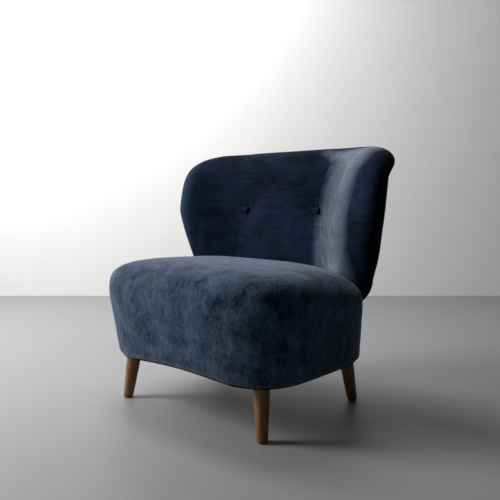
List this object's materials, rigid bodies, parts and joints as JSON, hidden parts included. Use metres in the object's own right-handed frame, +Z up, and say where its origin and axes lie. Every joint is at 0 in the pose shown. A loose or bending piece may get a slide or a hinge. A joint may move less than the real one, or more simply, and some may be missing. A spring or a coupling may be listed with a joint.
{
  "type": "upholstered chair",
  "caption": "Low upholstered lounge chair with a broad domed seat, a back that wraps into short wings with tufted buttons, and splayed tapered wooden legs.",
  "frame": {"origin": "on the floor, under the middle of the chair's bounding box", "axes": "+Z up, the chair faces -Y, +X is on the right of someone who looks at its front"},
  "size_m": [0.832, 0.6212, 0.79],
  "materials": {
    "velvet": "dark blue-grey crushed velvet",
    "walnut": "satin walnut",
    "beech": "bare beech",
    "steel": "bright zinc plated",
    "nylon": "moulded black nylon",
    "foam": "cut upholstery foam",
    "felt": "pressed felt",
    "cambric": "black dust cloth",
    "webbing": "woven elastic webbing",
    "twine": "waxed tufting twine"
  },
  "bodies": {
    "root": {"leg_front_left": "walnut", "leg_front_right": "walnut", "leg_back_left": "walnut", "leg_back_right": "walnut", "hanger_bolt_front_left": "steel", "hanger_bolt_front_right": "steel", "hanger_bolt_back_left": "steel", "hanger_bolt_back_right": "steel", "leg_plate_front_left": "steel", "leg_plate_front_right": "steel", "leg_plate_back_left": "steel", "leg_plate_back_right": "steel", "leg_glide_front_left": "nylon", "leg_glide_front_right": "nylon", "leg_glide_back_left": "nylon", "leg_glide_back_right": "nylon", "rail_front": "beech", "rail_back": "beech", "rail_left": "beech", "rail_right": "beech", "corner_block_front_left": "beech", "corner_block_front_right": "beech", "corner_block_back_left": "beech", "corner_block_back_right": "beech", "seat_spring_1": "steel", "seat_spring_2": "steel", "seat_spring_3": "steel", "seat_spring_4": "steel", "seat_spring_5": "steel", "seat_deck": "felt", "seat_foam": "foam", "seat_cover": "velvet", "dust_cover": "cambric", "back_top_rail": "beech", "wing_frame_left": "beech", "wing_frame_right": "beech", "back_post_left": "beech", "back_post_right": "beech", "back_lower_rail": "beech", "back_webbing_1": "webbing", "back_webbing_2": "webbing", "back_webbing_3": "webbing", "back_foam": "foam", "back_cover": "velvet", "outside_back_panel": "velvet", "back_bracket_left": "steel", "back_bracket_right": "steel", "bracket_bolt_lower_left": "steel", "bracket_bolt_lower_right": "steel", "bracket_bolt_upper_left": "steel", "bracket_bolt_upper_right": "steel", "button_left": "velvet", "button_right": "velvet", "button_twine_left": "twine", "button_twine_right": "twine", "button_toggle_left": "nylon", "button_toggle_right": "nylon"}
  },
  "joints": []
}
